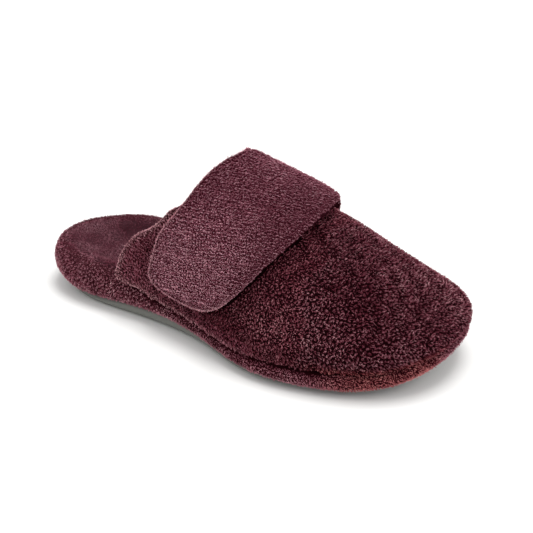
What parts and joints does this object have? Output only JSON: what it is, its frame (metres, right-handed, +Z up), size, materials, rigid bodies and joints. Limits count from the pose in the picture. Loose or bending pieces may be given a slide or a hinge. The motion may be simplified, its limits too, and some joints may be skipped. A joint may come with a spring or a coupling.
{
  "type": "closed toe slipper",
  "caption": "Right-foot closed toe house slipper in plum terry: backless padded upper, wide instep wrap strap, cloth-wrapped footbed, fleece insole and thin grey rubber outsole.",
  "frame": {"origin": "on the floor under the middle of the slipper's box", "axes": "+X from heel to toe, +Y to the inner side of the foot, +Z up"},
  "size_m": [0.266, 0.1114, 0.1068],
  "materials": {
    "outsole_rubber": "matt grey rubber",
    "footbed_terry": "looped terry cloth",
    "insole_fleece": "short brushed fleece",
    "upper_terry": "looped terry cloth",
    "strap_terry": "looped terry cloth"
  },
  "bodies": {
    "root": {"outsole": "outsole_rubber", "footbed": "footbed_terry", "insole": "insole_fleece", "upper": "upper_terry", "strap": "strap_terry"}
  },
  "joints": []
}
